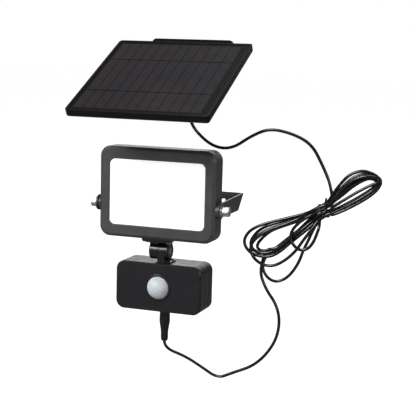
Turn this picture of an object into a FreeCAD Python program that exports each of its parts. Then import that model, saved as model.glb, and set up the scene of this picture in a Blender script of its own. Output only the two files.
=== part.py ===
import FreeCAD, Part

import math
import os

# Solar flood light: an LED lamp head on a steel yoke, a motion sensor box hung under the lamp on a
# knuckle hinge, and a separate solar panel on its own wall bracket, joined by a cord with a hank.
# Millimetres.  Everything is laid out about the lamp's pivot axis (the X axis), with the light
# facing -Y and +Z up; save() then moves it so that the origin is the yoke's middle wall hole.

V = FreeCAD.Vector
X_AXIS, Y_AXIS, Z_AXIS = V(1, 0, 0), V(0, 1, 0), V(0, 0, 1)

# ---- yoke (a flat steel strip bent into a U; its web leans back at 45 degrees)
STRIP = 2.0                      # thickness of the yoke's steel
WEB_Y, WEB_Z = 71.0, 1.5         # middle of the web's rear face, from the pivot axis
WEB_HALF = 12.0                  # half the width of the web along its lean
WEB_LEAN = 45.0                  # degrees from upright
YOKE_HALF = 74.4                 # centre line to the outer face of a leg
LEG_END_R = 8.8                  # round end of a leg at the pivot
LEG_TOP, LEG_BOTTOM = 8.7, -7.1  # upper and lower edge of a leg
WALL_HOLE_R, SIDE_HOLE_R = 4.25, 3.25
SIDE_HOLE_X = 52.0

# ---- lamp head
LAMP_W, LAMP_H, LAMP_R = 139.0, 103.0, 12.0
LAMP_Z = 14.8                    # middle of the head above the pivot axis
LAMP_FRONT, FRAME_BACK, HOUSING_BACK = -9.0, -4.5, 15.0
BEVEL_SIDE, BEVEL_DEEP = 3.4, 3.0
WINDOW_W, WINDOW_H, WINDOW_R = 114.2, 74.6, 6.0
GLASS_W, GLASS_H, GLASS_T = 122.0, 82.0, 3.1
CAVITY_W, CAVITY_H = 114.0, 74.0
CAVITY_BACK = 9.0
FIN_COUNT, FIN_T, FIN_BACK = 15, 2.0, 26.0
BOSS_R, BOSS_HALF = 7.0, 72.3    # pivot bosses on the sides of the head
PIVOT_BOLT_R = 3.0
PIVOT_FIT = 0.05                 # running clearance of a bolt in its hole

# ---- hinge between lamp and sensor
HINGE_Y, HINGE_Z, HINGE_R = 10.0, -52.0, 10.0
EAR_LEFT, EAR_RIGHT = -11.8, 11.4  # outer faces of the ears
TONGUE_LEFT, TONGUE_RIGHT = -1.0, 7.6
EAR_GAP = 0.3
HINGE_SCREW_R = 2.5
HANGER_SCREW_XS, HANGER_SCREW_Y = (-12.5, 12.5), 0.5  # screws up into the head, in front of the ears
HINGE_NUT_IN = -7.8              # bottom of the nut's pocket in the left ear
NECK_SCREWS = [(-1.2, 24.0), (7.8, 24.0)]

# ---- sensor box
BOX_W, BOX_H, BOX_R = 104.2, 56.0, 10.0
BOX_TOP = -65.8
BOX_Z = BOX_TOP - BOX_H / 2
BOX_FRONT, COVER_BACK, SHELL_FRONT, BOX_BACK = 1.0, 15.5, 16.0, 41.5
BOX_WALL = 2.5
LENS_R, LENS_RISE, LENS_T = 13.1, 8.0, 1.2
PLUG_Y = 25.0
PLUG_TOP, PLUG_TAIL = -123.0, -161.0
CELL_R, CELL_LONG = 9.1, 65.0    # rechargeable cell inside the box

# ---- solar panel, laid out flat about the middle of its face and then tilted
PANEL_W, PANEL_D, PANEL_T = 163.5, 162.0, 9.0
PANEL_X, PANEL_Y, PANEL_Z = 4.0, -11.0, 146.7
PANEL_TILT = 27.3
RIM = 3.0
PANEL_AXIS_Y, PANEL_AXIS_Z = 25.0, -24.0  # tilt axis below the panel, in the panel's own frame
CELL_STRIPS = 12
CELLS_LEFT, CELLS_RIGHT, CELLS_HALF_D = -75.5, 71.0, 74.0
LUG_IN, LUG_OUT = 45.2, 48.8
LUG_SCREW_DY = (-5.0, 5.0)
BRACKET_IN, BRACKET_OUT = 49.0, 51.0
BRACKET_BACK_Y = 86.2            # rear face of the panel bracket's web
BRACKET_TOP_Z, BRACKET_BOTTOM_Z = 187.0, 141.0
BRACKET_EYE_R = 9.3
BRACKET_HOLE_X, BRACKET_HOLE_ZS, BRACKET_HOLE_R = 38.0, (149.0, 176.0), 2.75
JUNCTION_X, JUNCTION_Y = 26.0, -2.5
GLAND_TIP_Z = -36.0              # below the panel's face, in the panel's own frame

# ---- cord: each route is its hand-placed points (x, y, z)
CORD_D = 3.5
UPPER_LEAD = [
    (30, 3.29, 113.563), (30, 9.252, 102.011), (35, 17, 86), (55.5, 20, 69), (78, 20, 68), (100.5, 20, 84),
    (121, 20, 93), (147.5, 20, 88.5), (169, 20, 78), (182, 20, 55.5), (192, 20, 34.5), (194, 20, 20),
]
LOWER_LEAD = [
    (120.5, 22, -45), (113, 22, -64), (121, 22, -86), (135.5, 22, -104), (140, 22, -125.5),
    (134, 22, -150), (113.5, 22, -176), (85, 22, -189), (68, 22.5, -197.5), (47, 23.5, -186.5),
    (26, 25, -176.8), (0, 25, -170), (0, 25, -161),
]

# ---- hank: oval rings, each as middle (x, z), half length, half width, lean, band width, depth
HANK_Y = 21.0
HANK_RINGS = [
    (141.0, -14.0, 51.0, 18.0, 27.0, 9.0, 14.0),
    (216.0, 32.0, 38.0, 19.0, 30.0, 9.0, 14.0),
    (165.0, -17.0, 21.0, 17.0, 35.0, 4.0, 6.0),
    (135.0, -38.0, 29.0, 20.0, 30.0, 4.0, 6.0),
    (138.0, -48.0, 31.0, 24.0, 65.0, 4.0, 6.0),
]
TIE_X, TIE_Z, TIE_LEAN = 184.0, 9.0, 28.0


def y_rod(radius, y0, y1, x=0.0, z=0.0):
    """A round rod along Y."""
    return Part.makeCylinder(radius, y1 - y0, V(x, y0, z), Y_AXIS)


def x_rod(radius, x0, x1, y=0.0, z=0.0):
    """A round rod along X."""
    return Part.makeCylinder(radius, x1 - x0, V(x0, y, z), X_AXIS)


def z_rod(radius, z0, z1, x=0.0, y=0.0):
    """A round rod along Z."""
    return Part.makeCylinder(radius, z1 - z0, V(x, y, z0), Z_AXIS)


def block(x0, x1, y0, y1, z0, z1):
    """A plain block between two corners."""
    return Part.makeBox(x1 - x0, y1 - y0, z1 - z0, V(x0, y0, z0))


def edges_along(shape, axis):
    """The straight edges of a shape that run along an axis."""
    found = []
    for edge in shape.Edges:
        if isinstance(edge.Curve, Part.Line):
            if abs(abs(edge.Curve.Direction.dot(axis)) - 1) < 1e-6:
                found.append(edge)
    return found


def slab(width, height, radius, y0, y1, x=0.0, z=0.0):
    """A plate facing Y with rounded corners."""
    plate = block(x - width / 2, x + width / 2, y0, y1, z - height / 2, z + height / 2)
    return plate.makeFillet(radius, edges_along(plate, Y_AXIS))


def corner_outline(width, height, radius, y, z):
    """The outline of a plate facing Y, for lofting a bevel."""
    faces = slab(width, height, radius, y, y + 1, 0, z).Faces
    front = min(faces, key=lambda face: face.CenterOfMass.y)
    return front.OuterWire


def bevelled_slab(width, height, radius, y0, y1, bevel_side, bevel_deep, z):
    """A plate facing Y whose front edge is bevelled."""
    small = corner_outline(width - 2 * bevel_side, height - 2 * bevel_side, radius - bevel_side / 2, y0, z)
    large = corner_outline(width, height, radius, y0 + bevel_deep, z)
    bevel = Part.makeLoft([small, large], True, True)
    return bevel.fuse(slab(width, height, radius, y0 + bevel_deep, y1, 0, z)).removeSplitter()


def prism_x(points, x0, x1):
    """A (y, z) outline pushed along X."""
    corners = [V(x0, y, z) for y, z in points]
    face = Part.Face(Part.makePolygon(corners + corners[:1]))
    return face.extrude(V(x1 - x0, 0, 0))


def hex_x(across_flats, x0, x1, y=0.0, z=0.0):
    """A hexagonal bar along X."""
    radius = across_flats / math.sqrt(3)
    turns = [math.radians(60 * i) for i in range(6)]
    return prism_x([(y + radius * math.cos(a), z + radius * math.sin(a)) for a in turns], x0, x1)


def headed_pin(radius, z0, z1, head_radius, head_end, x, y):
    """A pin along Z from z0 to z1 whose wider head stands between z1 and head_end."""
    shank = z_rod(radius, min(z0, z1), max(z0, z1), x, y)
    return shank.fuse(z_rod(head_radius, min(z1, head_end), max(z1, head_end), x, y))


def both_sides(shape):
    """The shape and its mirror image in the plane X = 0."""
    return [shape, shape.mirror(V(0, 0, 0), X_AXIS)]


def revolve(profile, centre, axis=Z_AXIS):
    """Turn an (along, radius) profile about an axis through a point."""
    outline = [V(radius, 0, along) for along, radius in profile]
    solid = Part.Face(Part.makePolygon(outline + outline[:1])).revolve(V(0, 0, 0), Z_AXIS, 360)
    placement = FreeCAD.Placement(centre, FreeCAD.Rotation(Z_AXIS, axis))
    solid.Placement = placement.multiply(solid.Placement)
    return solid


def tidy_corners(shape, radius, edges):
    """Round the given edges."""
    return shape.makeFillet(radius, edges)


# ------------------------------------------------------------------ yoke
def web_point(along, depth):
    """A (y, z) point of the yoke's web: along its lean, and in front of its rear face."""
    lean = math.radians(WEB_LEAN)
    y = WEB_Y + along * math.sin(lean) - depth * math.cos(lean)
    z = WEB_Z + along * math.cos(lean) + depth * math.sin(lean)
    return y, z


def lamp_yoke():
    top_back, bottom_back = web_point(WEB_HALF, 0), web_point(-WEB_HALF, 0)
    top_front, bottom_front = web_point(WEB_HALF, STRIP), web_point(-WEB_HALF, STRIP)
    web = prism_x([top_back, top_front, bottom_front, bottom_back], -YOKE_HALF, YOKE_HALF)
    leg_outline = [(0, LEG_TOP), top_front, top_back, bottom_back, (0, LEG_BOTTOM)]
    leg_in = YOKE_HALF - STRIP
    leg = prism_x(leg_outline, leg_in, YOKE_HALF).fuse(x_rod(LEG_END_R, leg_in, YOKE_HALF))
    yoke = web.multiFuse(both_sides(leg)).removeSplitter()
    bends = []
    for edge in yoke.Edges:
        middle = edge.CenterOfMass
        if abs(abs(middle.x) - YOKE_HALF) < 0.01 and abs(edge.Length - 2 * WEB_HALF) < 0.1:
            bends.append(edge)
    yoke = tidy_corners(yoke, 1.8, bends)
    lean = math.radians(WEB_LEAN)
    through = V(0, math.cos(lean), -math.sin(lean))
    start = V(0, WEB_Y, WEB_Z) - through * 6
    holes = [Part.makeCylinder(WALL_HOLE_R, 12, start, through)]
    for side in (-1, 1):
        holes.append(Part.makeCylinder(SIDE_HOLE_R, 12, start + V(side * SIDE_HOLE_X, 0, 0), through))
        holes.append(x_rod(PIVOT_BOLT_R + PIVOT_FIT, side * 73.4 - 3, side * 73.4 + 3))
    return yoke.cut(Part.makeCompound(holes))


# ------------------------------------------------------------------ lamp head
FRAME_SCREWS = [(sx * 62.0, LAMP_Z + sz * 44.0) for sx in (-1, 1) for sz in (-1, 1)]


def front_frame():
    frame = bevelled_slab(LAMP_W, LAMP_H, LAMP_R, LAMP_FRONT, FRAME_BACK, BEVEL_SIDE, BEVEL_DEEP, LAMP_Z)
    window = slab(WINDOW_W, WINDOW_H, WINDOW_R, LAMP_FRONT - 1, FRAME_BACK + 1, 0, LAMP_Z)
    pocket = slab(GLASS_W + 0.4, GLASS_H + 0.4, 8.0, FRAME_BACK - GLASS_T, FRAME_BACK + 1, 0, LAMP_Z)
    wide = corner_outline(WINDOW_W + 2.4, WINDOW_H + 2.4, WINDOW_R + 1.2, LAMP_FRONT - 0.01, LAMP_Z)
    narrow = corner_outline(WINDOW_W, WINDOW_H, WINDOW_R, LAMP_FRONT + 1.2, LAMP_Z)
    flare = Part.makeLoft([wide, narrow], True, True)
    screws = [y_rod(1.7, FRAME_BACK - 1.9, FRAME_BACK + 1, x, z) for x, z in FRAME_SCREWS]
    return frame.cut(Part.makeCompound([window, pocket, flare] + screws))


def lamp_housing():
    body = slab(LAMP_W, LAMP_H, LAMP_R, FRAME_BACK, HOUSING_BACK, 0, LAMP_Z)
    step = slab(112, 78, 8, HOUSING_BACK - 1, HOUSING_BACK + 3, 0, LAMP_Z)
    fins = []
    for i in range(FIN_COUNT):
        x = -49.0 + 98.0 * i / (FIN_COUNT - 1)
        fin = block(x - FIN_T / 2, x + FIN_T / 2, HOUSING_BACK, FIN_BACK, LAMP_Z - 36, LAMP_Z + 36)
        top_corner = [(FIN_BACK + 1, LAMP_Z + 37), (FIN_BACK - 7, LAMP_Z + 37), (FIN_BACK + 1, LAMP_Z + 29)]
        fins.append(fin.cut(prism_x(top_corner, x - FIN_T, x + FIN_T)))
    boss = x_rod(BOSS_R, LAMP_W / 2, BOSS_HALF)
    body = body.multiFuse([step] + fins + both_sides(boss))
    mouth = slab(GLASS_W, GLASS_H, 8, FRAME_BACK - 1, FRAME_BACK + 1.5, 0, LAMP_Z)
    cavity = slab(CAVITY_W, CAVITY_H, 6, FRAME_BACK, CAVITY_BACK, 0, LAMP_Z)
    cuts = [mouth, cavity] + both_sides(x_rod(PIVOT_BOLT_R, 59.5, BOSS_HALF + 1))
    cuts += [y_rod(1.7, FRAME_BACK - 1, HOUSING_BACK + 1, x, z) for x, z in FRAME_SCREWS]
    cuts += [z_rod(1.5, -37.7, -31.0, x, HANGER_SCREW_Y) for x in HANGER_SCREW_XS]
    return body.cut(Part.makeCompound(cuts)).removeSplitter()


def ring_slab(outer, inner, radius, y0, y1, z):
    """A flat rectangular ring facing Y; outer and inner are (width, height)."""
    solid = slab(outer[0], outer[1], radius, y0, y1, 0, z)
    hole = slab(inner[0], inner[1], radius - 1, y0 - 1, y1 + 1, 0, z)
    return solid.cut(hole)


def reflector():
    back = corner_outline(104.0, 64.0, 4.0, 7.3, LAMP_Z)
    front = corner_outline(113.6, 73.6, 5.5, -1.5, LAMP_Z)
    outside = Part.makeLoft([back, front], True, True)
    back_in = corner_outline(101.0, 61.0, 3.5, 7.3, LAMP_Z)
    front_in = corner_outline(110.6, 70.6, 5.0, -1.5, LAMP_Z)
    return outside.cut(Part.makeLoft([back_in, front_in], True, True))


def led_chips():
    chips = []
    for row in range(5):
        for column in range(10):
            x = -42.75 + 9.5 * column
            z = LAMP_Z - 22 + 11.0 * row
            chips.append(block(x - 1.5, x + 1.5, 6.7, 7.4, z - 1.5, z + 1.5))
    return Part.makeCompound(chips)


def screw_y(head_r, head_y, head_back, shank_r, tip_y, x, z):
    """A cross-head screw driven from behind."""
    screw = y_rod(head_r, head_y, head_back, x, z).fuse(y_rod(shank_r, tip_y, head_y, x, z))
    slot = block(x - 0.4, x + 0.4, head_back - 0.8, head_back + 1, z - head_r * 0.6, z + head_r * 0.6)
    bar = block(x - head_r * 0.6, x + head_r * 0.6, head_back - 0.8, head_back + 1, z - 0.4, z + 0.4)
    return screw.cut(slot.fuse(bar)).removeSplitter()


def pivot_bolt(side):
    """A hex-head pivot bolt; the right-hand one stands on a taller pair of washers."""
    head_in = 77.4 if side > 0 else 75.8
    head_out = 84.2 if side > 0 else 82.3
    tall = head_out - head_in
    head = hex_x(10.0, head_in, head_out).common(revolve(
        [(0, 0), (0, 5.9), (tall - 1.0, 5.9), (tall, 5.0), (tall, 0)],
        V(head_in, 0, 0), X_AXIS))
    bolt = head.fuse(x_rod(PIVOT_BOLT_R, 60, head_in)).removeSplitter()
    return bolt if side > 0 else bolt.mirror(V(0, 0, 0), X_AXIS)


def flat_washers():
    washer = x_rod(6.7, YOKE_HALF + 0.1, 75.8).cut(x_rod(PIVOT_BOLT_R, 70, 80))
    return Part.makeCompound(both_sides(washer))


def spring_washer():
    ring = x_rod(5.0, 75.8, 77.4).cut(x_rod(PIVOT_BOLT_R, 70, 80))
    gap = block(75, 78, -0.5, 0.5, 2, 6)
    return ring.cut(gap)


# ------------------------------------------------------------------ hinge
def sensor_bracket():
    lamp_bottom = LAMP_Z - LAMP_H / 2
    plate = block(-17.5, 17.5, -6.5, 19.5, lamp_bottom - 3.3, lamp_bottom)
    low_edges = [e for e in edges_along(plate, Y_AXIS) if e.CenterOfMass.z < lamp_bottom - 3]
    plate = plate.makeChamfer(1.6, low_edges)
    ears = []
    for x0, x1 in ((EAR_LEFT, TONGUE_LEFT - EAR_GAP), (TONGUE_RIGHT + EAR_GAP, EAR_RIGHT)):
        ear = x_rod(HINGE_R, x0, x1, HINGE_Y, HINGE_Z)
        neck = block(x0, x1, HINGE_Y - 6.0, HINGE_Y + 6.0, HINGE_Z, lamp_bottom - 2)
        ears.append(ear.fuse(neck))
    body = plate.multiFuse(ears).removeSplitter()
    rims = []
    for edge in body.Edges:
        circle = isinstance(edge.Curve, Part.Circle) and abs(edge.Curve.Radius - HINGE_R) < 0.01
        if circle and min(abs(edge.CenterOfMass.x - EAR_LEFT), abs(edge.CenterOfMass.x - EAR_RIGHT)) < 0.01:
            rims.append(edge)
    body = tidy_corners(body, 1.5, rims)
    cuts = [
        x_rod(HINGE_SCREW_R, -20, 20, HINGE_Y, HINGE_Z),
        x_rod(3.6, 9.7, 20, HINGE_Y, HINGE_Z),
        hex_x(8.0, -20, HINGE_NUT_IN, HINGE_Y, HINGE_Z),
    ]
    cuts += [z_rod(1.7, -45, -30, x, HANGER_SCREW_Y) for x in HANGER_SCREW_XS]
    return body.cut(Part.makeCompound(cuts))


def sensor_neck():
    tongue = x_rod(HINGE_R - 0.4, TONGUE_LEFT, TONGUE_RIGHT, HINGE_Y, HINGE_Z)
    stem = block(TONGUE_LEFT, TONGUE_RIGHT, HINGE_Y - 9.6, HINGE_Y + 9.6, BOX_TOP + 1, HINGE_Z)
    foot = block(-5.2, 11.8, 3.0, 28.5, BOX_TOP, BOX_TOP + 1.5)
    foot = foot.makeFillet(3, edges_along(foot, Z_AXIS))
    neck = tongue.multiFuse([stem, foot]).removeSplitter()
    cuts = [x_rod(HINGE_SCREW_R + PIVOT_FIT, -20, 20, HINGE_Y, HINGE_Z)]
    cuts += [z_rod(1.3, BOX_TOP - 1, BOX_TOP + 3, x, y) for x, y in NECK_SCREWS]
    return neck.cut(Part.makeCompound(cuts))


def hinge_screw():
    shank = x_rod(HINGE_SCREW_R, EAR_LEFT + 0.4, 9.7, HINGE_Y, HINGE_Z)
    head = x_rod(3.4, 9.7, 11.2, HINGE_Y, HINGE_Z)
    slot = block(10.5, 12, HINGE_Y - 3.4, HINGE_Y + 3.4, HINGE_Z - 0.5, HINGE_Z + 0.5)
    return shank.fuse(head).cut(slot)


def hinge_nut():
    nut = hex_x(8.0, EAR_LEFT + 0.6, HINGE_NUT_IN, HINGE_Y, HINGE_Z)
    return nut.cut(x_rod(HINGE_SCREW_R, EAR_LEFT, -5, HINGE_Y, HINGE_Z))


# ------------------------------------------------------------------ sensor box
BOX_SCREWS = [(sx * 44.0, BOX_Z + sz * 21.0) for sx in (-1, 1) for sz in (-1, 1)]
BOARD_POSTS = [(sx * 35.0, BOX_Z + sz * 17.0) for sx in (-1, 1) for sz in (-1, 1)]
INNER_W, INNER_H, INNER_R = BOX_W - 2 * BOX_WALL, BOX_H - 2 * BOX_WALL, BOX_R - BOX_WALL


def sensor_front_cover():
    cover = bevelled_slab(BOX_W, BOX_H, BOX_R, BOX_FRONT, COVER_BACK, 1.8, 1.8, BOX_Z)
    cover = cover.cut(slab(INNER_W, INNER_H, INNER_R, BOX_FRONT + BOX_WALL, COVER_BACK + 1, 0, BOX_Z))
    posts = [y_rod(3.2, BOX_FRONT + 1, COVER_BACK, x, z) for x, z in BOX_SCREWS]
    posts += [y_rod(2.2, BOX_FRONT + 1, 12, x, z) for x, z in BOARD_POSTS]
    cover = cover.multiFuse(posts)
    cuts = [y_rod(LENS_R + 0.1, 0, 6, 0, BOX_Z)]
    cuts += [y_rod(1.3, 9, COVER_BACK + 1, x, z) for x, z in BOX_SCREWS]
    return cover.cut(Part.makeCompound(cuts)).removeSplitter()


def sensor_rear_shell():
    shell = slab(BOX_W, BOX_H, BOX_R, SHELL_FRONT, BOX_BACK, 0, BOX_Z)
    rear = [e for e in shell.Edges if abs(e.BoundBox.YMin - BOX_BACK) < 0.01 and e.BoundBox.YLength < 0.01]
    shell = tidy_corners(shell, 2.0, rear)
    shell = shell.cut(slab(INNER_W, INNER_H, INNER_R, SHELL_FRONT - 1, BOX_BACK - BOX_WALL, 0, BOX_Z))
    posts = [y_rod(3.2, SHELL_FRONT, BOX_BACK - 1, x, z) for x, z in BOX_SCREWS]
    foot_posts = [z_rod(2.5, BOX_TOP - 6, BOX_TOP - 1, x, y) for x, y in NECK_SCREWS]
    shell = shell.multiFuse(posts + foot_posts)
    outside = slab(BOX_W + 4, BOX_H + 4, BOX_R + 2, 27.3, 28.1, 0, BOX_Z)
    groove = outside.cut(slab(BOX_W - 1.2, BOX_H - 1.2, BOX_R - 0.6, 27, 29, 0, BOX_Z))
    cuts = [groove, z_rod(5.5, -125, -115, 0, PLUG_Y)]
    cuts += [y_rod(1.7, SHELL_FRONT - 1, BOX_BACK + 1, x, z) for x, z in BOX_SCREWS]
    cuts += [y_rod(3.0, BOX_BACK - 2.2, BOX_BACK + 1, x, z) for x, z in BOX_SCREWS]
    cuts += [z_rod(1.3, BOX_TOP - 5, BOX_TOP + 1, x, y) for x, y in NECK_SCREWS]
    return shell.cut(Part.makeCompound(cuts)).removeSplitter()


def lens_dome():
    sphere_r = (LENS_R ** 2 + LENS_RISE ** 2) / (2 * LENS_RISE)
    centre = V(0, BOX_FRONT - LENS_RISE + sphere_r, BOX_Z)
    keep = y_rod(LENS_R, BOX_FRONT - 10, BOX_FRONT, 0, BOX_Z)
    outside = Part.makeSphere(sphere_r, centre).common(keep)
    skirt = y_rod(LENS_R, BOX_FRONT, 4.0, 0, BOX_Z)
    flange = y_rod(14.5, BOX_FRONT + BOX_WALL, 4.7, 0, BOX_Z)
    inside = Part.makeSphere(sphere_r - LENS_T, centre).common(y_rod(LENS_R, -10, BOX_FRONT, 0, BOX_Z))
    bore = y_rod(LENS_R - LENS_T, BOX_FRONT - 0.5, 6, 0, BOX_Z)
    return outside.multiFuse([skirt, flange]).cut(inside.fuse(bore)).removeSplitter()


def lens_ring():
    profile = [(0, LENS_R + 0.2), (0, 15.8), (0.6, 15.8), (1.3, 14.8), (1.3, 13.9), (0.7, LENS_R + 0.2)]
    return revolve(profile, V(0, BOX_FRONT, BOX_Z), V(0, -1, 0))


def battery_holder():
    holder = block(-37, 37, 25, 36, BOX_Z - 8.5, BOX_Z + 13.5)
    return holder.cut(x_rod(CELL_R, -34, 34, 26.0, BOX_Z + 2.5))


def battery_cell():
    can = x_rod(CELL_R, -CELL_LONG / 2, CELL_LONG / 2 - 1.5, 26.0, BOX_Z + 2.5)
    return can.fuse(x_rod(3.0, CELL_LONG / 2 - 2, CELL_LONG / 2, 26.0, BOX_Z + 2.5)).removeSplitter()


def dc_inlet():
    barrel = z_rod(5.5, BOX_TOP - BOX_H + 0.1, -110, 0, PLUG_Y)
    flange = z_rod(7.2, PLUG_TOP, BOX_TOP - BOX_H, 0, PLUG_Y)
    bore = z_rod(2.85, PLUG_TOP - 1, -112, 0, PLUG_Y)
    pin = z_rod(0.9, -121, -111, 0, PLUG_Y)
    return barrel.fuse(z_rod(5.5, BOX_TOP - BOX_H - 0.2, -118, 0, PLUG_Y)).fuse(flange).cut(bore).fuse(pin)


def plug_body():
    profile = [
        (PLUG_TOP, 0), (PLUG_TOP, 5.7), (-129, 6.0), (-137, 6.2), (-141, 5.7), (-147, 4.7), (-149.5, 4.4),
        (-158.5, 4.3), (PLUG_TAIL, 3.4), (PLUG_TAIL, 0),
    ]
    body = revolve(profile, V(0, PLUG_Y, 0))
    rings = []
    for i in range(3):
        low = -151.5 - 2.6 * i
        rings.append(z_rod(5, low - 0.9, low, 0, PLUG_Y).cut(z_rod(3.8, low - 1, low + 1, 0, PLUG_Y)))
    return body.cut(Part.makeCompound(rings))


def plug_barrel():
    return z_rod(2.75, PLUG_TOP, -113.5, 0, PLUG_Y).cut(z_rod(1.1, -122, -110, 0, PLUG_Y))


# ------------------------------------------------------------------ solar panel
def place_panel(shape):
    """Tilt a piece drawn flat in the panel's own frame and put it where the panel stands."""
    placed = shape.copy()
    turn = FreeCAD.Rotation(X_AXIS, PANEL_TILT)
    placed.Placement = FreeCAD.Placement(V(PANEL_X, PANEL_Y, PANEL_Z), turn).multiply(placed.Placement)
    return placed


def flat_plate(width, depth, radius, z0, z1):
    """A plate facing up with rounded corners, in the panel's own frame."""
    plate = block(-width / 2, width / 2, -depth / 2, depth / 2, z0, z1)
    return plate.makeFillet(radius, edges_along(plate, Z_AXIS))


def panel_tray():
    tray = flat_plate(PANEL_W, PANEL_D, 4.0, -PANEL_T, 0)
    low = [e for e in tray.Edges if abs(e.BoundBox.ZMax + PANEL_T) < 0.01]
    tray = tidy_corners(tray, 2.6, low)
    pocket = flat_plate(PANEL_W - 2 * RIM, PANEL_D - 2 * RIM, 2.0, -4.0, 1)
    hollow = flat_plate(PANEL_W - 2 * RIM - 10, PANEL_D - 2 * RIM - 10, 2.0, -7.0, 1)
    ribs = [block(x - 1, x + 1, -72, 72, -7.0, -4.0) for x in (-50.0, -25.0, 0.0, 52.0)]
    hollow = hollow.cut(Part.makeCompound(ribs))
    wire_hole = z_rod(3.0, -10, 1, JUNCTION_X, JUNCTION_Y)
    return tray.cut(Part.makeCompound([pocket, hollow, wire_hole]))


def solar_cells():
    pitch = (CELLS_RIGHT - CELLS_LEFT) / CELL_STRIPS
    strips = []
    for i in range(CELL_STRIPS):
        left = CELLS_LEFT + i * pitch + 0.3
        strips.append(block(left, left + pitch - 0.6, -CELLS_HALF_D, CELLS_HALF_D, -2.4, -2.0))
    return Part.makeCompound(strips)


def busbars():
    bars = [block(CELLS_LEFT - 1.5, CELLS_RIGHT + 1.5, y - 0.5, y + 0.5, -2.0, -1.8) for y in (-35.5, 35.5)]
    return Part.makeCompound(bars)


def junction_box():
    box = block(JUNCTION_X - 22, JUNCTION_X + 22, JUNCTION_Y - 17, JUNCTION_Y + 17, -20, -PANEL_T)
    box = box.makeFillet(4, edges_along(box, Z_AXIS))
    inside = block(JUNCTION_X - 20, JUNCTION_X + 20, JUNCTION_Y - 15, JUNCTION_Y + 15, -21, -11)
    posts = [z_rod(3, -20, -11, x, y) for x, y in junction_screw_places()]
    box = box.cut(inside).multiFuse(posts)
    cuts = [z_rod(1.3, -21, -13, x, y) for x, y in junction_screw_places()]
    cuts.append(z_rod(3.0, -12, -8, JUNCTION_X, JUNCTION_Y))
    return box.cut(Part.makeCompound(cuts)).removeSplitter()


def junction_screw_places():
    return [(JUNCTION_X + sx * 17.5, JUNCTION_Y + sy * 12.5) for sx in (-1, 1) for sy in (-1, 1)]


def junction_lid():
    lid = block(JUNCTION_X - 22, JUNCTION_X + 22, JUNCTION_Y - 17, JUNCTION_Y + 17, -22.5, -20)
    lid = lid.makeFillet(4, edges_along(lid, Z_AXIS))
    cuts = [z_rod(1.6, -23, -19, x, y) for x, y in junction_screw_places()]
    cuts.append(z_rod(4.0, -23, -19, JUNCTION_X, JUNCTION_Y))
    return lid.cut(Part.makeCompound(cuts))


def junction_screws():
    screws = []
    for x, y in junction_screw_places():
        screws.append(z_rod(1.3, -22.5, -13.5, x, y).fuse(z_rod(2.6, -24.0, -22.5, x, y)))
    return Part.makeCompound(screws)


def cord_gland():
    thread = z_rod(4.0, -22.5, -17, JUNCTION_X, JUNCTION_Y)
    base = z_rod(7.0, -24.5, -22.5, JUNCTION_X, JUNCTION_Y)
    dome = revolve([(-24.5, 0), (-24.5, 5.8), (-28, 5.4), (-33, 3.6), (GLAND_TIP_Z, 2.9), (GLAND_TIP_Z, 0)],
                   V(JUNCTION_X, JUNCTION_Y, 0))
    return thread.multiFuse([base, dome]).removeSplitter()


def panel_lug():
    """The right-hand lug: a foot under the tray and a round eye on the tilt axis."""
    eye = x_rod(9.0, LUG_IN, LUG_OUT, PANEL_AXIS_Y, PANEL_AXIS_Z)
    post = block(LUG_IN, LUG_OUT, PANEL_AXIS_Y - 9, PANEL_AXIS_Y + 9, PANEL_AXIS_Z, -PANEL_T)
    foot = block(LUG_IN - 12, LUG_OUT, PANEL_AXIS_Y - 9, PANEL_AXIS_Y + 9, -PANEL_T - 2.5, -PANEL_T)
    foot = foot.makeFillet(2, [e for e in edges_along(foot, Z_AXIS) if e.CenterOfMass.x < LUG_IN])
    lug = eye.multiFuse([post, foot]).removeSplitter()
    cuts = [x_rod(2.5, LUG_IN - 1, LUG_OUT + 1, PANEL_AXIS_Y, PANEL_AXIS_Z)]
    cuts += [z_rod(1.6, -14, -8, LUG_IN - 6, PANEL_AXIS_Y + dy) for dy in LUG_SCREW_DY]
    return lug.cut(Part.makeCompound(cuts))


def lug_screws():
    screws = []
    for side in (-1, 1):
        for dy in LUG_SCREW_DY:
            x, y = side * (LUG_IN - 6), PANEL_AXIS_Y + dy
            screws.append(z_rod(1.6, -11.5, -PANEL_T, x, y).fuse(z_rod(2.8, -13.1, -11.5, x, y)))
    return Part.makeCompound(screws)


def panel_axis_point():
    """Where the panel's tilt axis stands, as (y, z) from the lamp's pivot axis."""
    tilt = math.radians(PANEL_TILT)
    y = PANEL_Y + PANEL_AXIS_Y * math.cos(tilt) - PANEL_AXIS_Z * math.sin(tilt)
    z = PANEL_Z + PANEL_AXIS_Y * math.sin(tilt) + PANEL_AXIS_Z * math.cos(tilt)
    return y, z


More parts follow.
